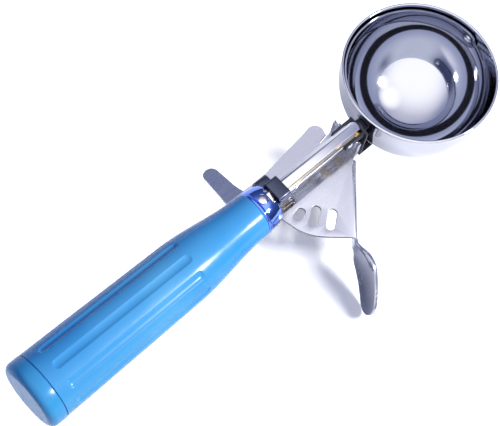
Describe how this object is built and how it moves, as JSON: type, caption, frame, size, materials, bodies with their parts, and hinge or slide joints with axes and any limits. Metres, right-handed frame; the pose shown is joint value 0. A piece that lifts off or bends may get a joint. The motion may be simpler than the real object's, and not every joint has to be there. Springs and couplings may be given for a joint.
{
  "type": "lever ice cream scoop",
  "caption": "Round-bowl ice cream scoop with a blue fluted handle and a thumb lever that sweeps a scraper blade across the bowl.",
  "frame": {"origin": "centre of the flat end face of the handle's cap, on the handle's axis", "axes": "+X along the handle towards the bowl, +Z the side that the bowl's mouth faces, +Y left when the bowl points away from the user; the thumb press is on the -Y side"},
  "size_m": [0.2165, 0.0821, 0.0398],
  "materials": {
    "grip": "moulded, glossy",
    "cap": "moulded, glossy",
    "ferrule_steel": "polished",
    "rivet_steel": "polished heads",
    "shank_steel": "fine satin",
    "pin_steel": "turned",
    "bracket_steel": "stamped",
    "spring_steel": "drawn wire",
    "lever_steel": "satin, stamped and bent",
    "bush_bronze": "turned bronze",
    "bowl_steel": "mirror polished inside, fine satin outside",
    "knob_steel": "turned",
    "blade_steel": "polished spring strip",
    "shaft_steel": "ground",
    "pinion_brass": "machined"
  },
  "bodies": {
    "frame": {"handle_grip": "grip", "end_cap": "cap", "ferrule": "ferrule_steel", "ferrule_rivet": "rivet_steel", "shank": "shank_steel", "tang_pin": "pin_steel", "pivot_bracket": "bracket_steel", "bracket_rivets": "rivet_steel", "pivot_pin": "pin_steel", "pivot_washers": "pin_steel", "return_spring": "spring_steel", "bowl": "bowl_steel", "bowl_saddle": "bracket_steel", "saddle_rivets": "rivet_steel", "shaft_bush_front": "knob_steel", "shaft_bush_rear": "bush_bronze", "bowl_pivot_stud": "rivet_steel"},
    "lever": {"lever_plate": "lever_steel", "lever_bush": "bush_bronze"},
    "scraper": {"scraper_blade": "blade_steel", "scraper_shaft": "shaft_steel", "pinion": "pinion_brass", "shaft_collar": "shaft_steel", "blade_rivet": "rivet_steel"}
  },
  "joints": [
    {"name": "lever_pivot", "type": "hinge", "parent": "frame", "child": "lever", "pos_m": [0.1138, 0, -0.0084], "axis": [0, 0, 1], "range_deg": [-11.5, 0], "stiffness_Nm_per_rad": 0.8, "springref_deg": 8.59, "deforming": ["return_spring"]},
    {"name": "scraper_turn", "type": "hinge", "parent": "frame", "child": "scraper", "pos_m": [0.1521, 0, 0.0026], "axis": [1, 0, 0], "range_deg": [-172.5, 0]}
  ],
  "couplings": [
    {"joint": "scraper_turn", "follows": "lever_pivot", "ratio": 15}
  ]
}
